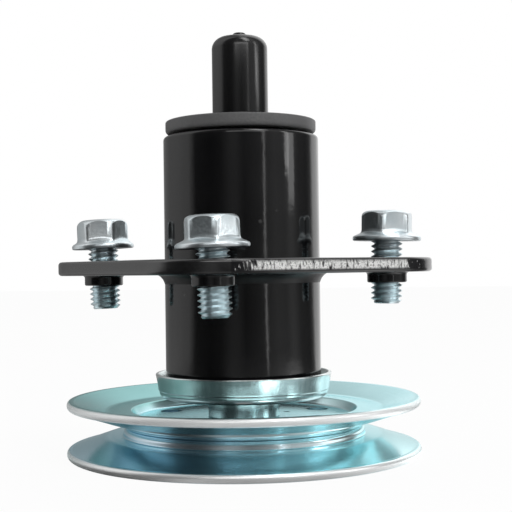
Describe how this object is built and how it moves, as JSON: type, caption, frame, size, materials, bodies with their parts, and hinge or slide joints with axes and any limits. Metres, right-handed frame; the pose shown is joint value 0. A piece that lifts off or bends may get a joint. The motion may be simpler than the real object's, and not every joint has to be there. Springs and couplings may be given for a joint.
{
  "type": "mower deck spindle",
  "caption": "Mower deck spindle with a flanged black tube housing, a bearing-mounted shaft with a blade seat and capped thread, and a pressed V-belt pulley.",
  "frame": {"origin": "on the spindle axis, in the plane of the pulley's lower rim", "axes": "+Z along the spindle axis from the pulley towards the blade end; +X and +Y each through one of the flange's screws"},
  "size_m": [0.117, 0.117, 0.1308],
  "materials": {
    "black_paint": "gloss",
    "zinc": "bright zinc plate",
    "blue_zinc": "blue passivated zinc plate",
    "dark_steel": "matte phosphate",
    "bearing_steel": "ground",
    "seal_rubber": "matte",
    "black_vinyl": "dipped gloss"
  },
  "bodies": {
    "housing": {"housing_tube": "black_paint", "mounting_flange": "black_paint", "flange_weld": "black_paint", "flange_screws": "zinc", "lower_outer_ring": "bearing_steel", "lower_bottom_seal": "seal_rubber", "lower_top_seal": "seal_rubber", "upper_outer_ring": "bearing_steel", "upper_bottom_seal": "seal_rubber", "upper_top_seal": "seal_rubber"},
    "rotor": {"spindle_shaft": "dark_steel", "dust_cup": "zinc", "pulley_hub": "zinc", "pulley_upper_half": "blue_zinc", "pulley_lower_half": "blue_zinc", "pulley_nut": "zinc", "inner_spacer": "bearing_steel", "lower_inner_ring": "bearing_steel", "upper_inner_ring": "bearing_steel"},
    "lower_ball_set": {"lower_balls": "bearing_steel", "lower_cage": "bearing_steel"},
    "upper_ball_set": {"upper_balls": "bearing_steel", "upper_cage": "bearing_steel"},
    "cap": {"thread_cap": "black_vinyl"}
  },
  "joints": [
    {"name": "rotor_spin", "type": "hinge", "parent": "housing", "child": "rotor", "pos_m": [0, 0, 0.059], "axis": [0, 0, 1], "continuous": true},
    {"name": "lower_ball_spin", "type": "hinge", "parent": "housing", "child": "lower_ball_set", "pos_m": [0, 0, 0.0265], "axis": [0, 0, 1], "continuous": true},
    {"name": "upper_ball_spin", "type": "hinge", "parent": "housing", "child": "upper_ball_set", "pos_m": [0, 0, 0.0916], "axis": [0, 0, 1], "continuous": true},
    {"name": "cap_pull", "type": "slide", "parent": "rotor", "child": "cap", "axis": [0, 0, 1], "range_m": [0, 0.028]}
  ],
  "couplings": [
    {"joint": "lower_ball_spin", "follows": "rotor_spin", "ratio": 0.3818},
    {"joint": "upper_ball_spin", "follows": "rotor_spin", "ratio": 0.3818}
  ]
}
